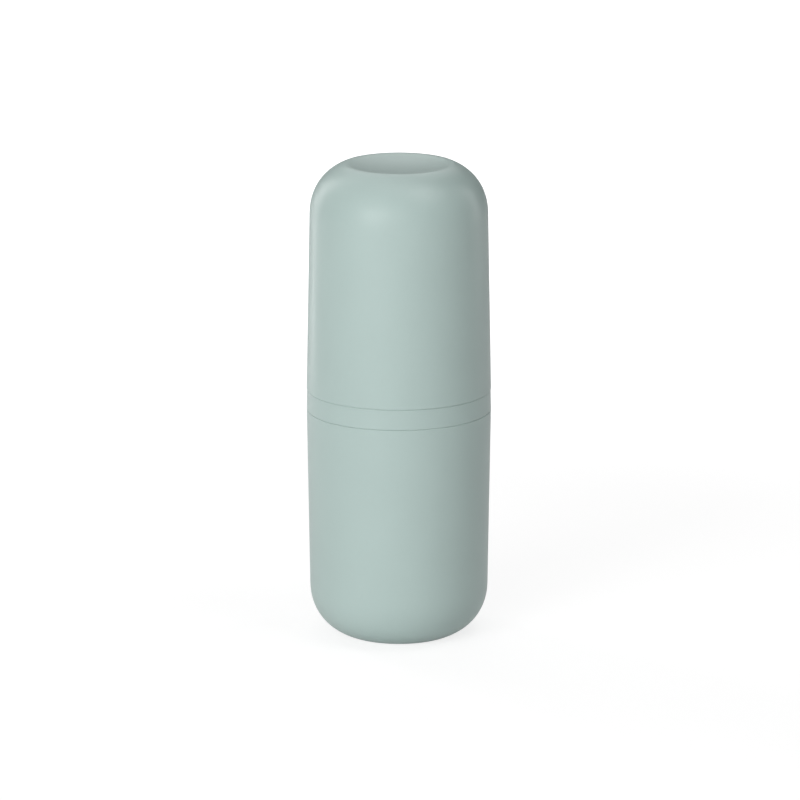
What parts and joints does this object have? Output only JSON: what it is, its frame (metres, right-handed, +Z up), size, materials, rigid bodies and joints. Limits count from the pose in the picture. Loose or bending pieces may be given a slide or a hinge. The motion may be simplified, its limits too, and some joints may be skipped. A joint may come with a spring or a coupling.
{
  "type": "electric toothbrush travel case",
  "caption": "Upright capsule-shaped travel case: a domed cup and a domed lid push onto a collar whose snap-in deck holds a brush handle, a paste tube and spare heads.",
  "frame": {"origin": "centre of the foot ring's flat land, on the surface that the case stands on", "axes": "+Z up along the axis of the case, +X towards the tube slot and -X towards the handle opening, +Y towards one of the two head pegs"},
  "size_m": [0.077, 0.077, 0.2007],
  "materials": {
    "shell": "satin sage green",
    "deck": "satin pale sage",
    "seal": "matt silicone",
    "grip": "matt soft-touch"
  },
  "bodies": {
    "cup": {"lower_cup": "shell"},
    "holder": {"collar_ring": "shell", "holder_deck": "deck", "handle_grip": "grip", "cup_seal": "seal", "lid_seal": "seal"},
    "lid": {"lid": "shell"}
  },
  "joints": [
    {"name": "holder_lift", "type": "slide", "parent": "cup", "child": "holder", "axis": [0, 0, 1], "range_m": [0, 0.1]},
    {"name": "lid_lift", "type": "slide", "parent": "holder", "child": "lid", "axis": [0, 0, 1], "range_m": [0, 0.12]}
  ]
}
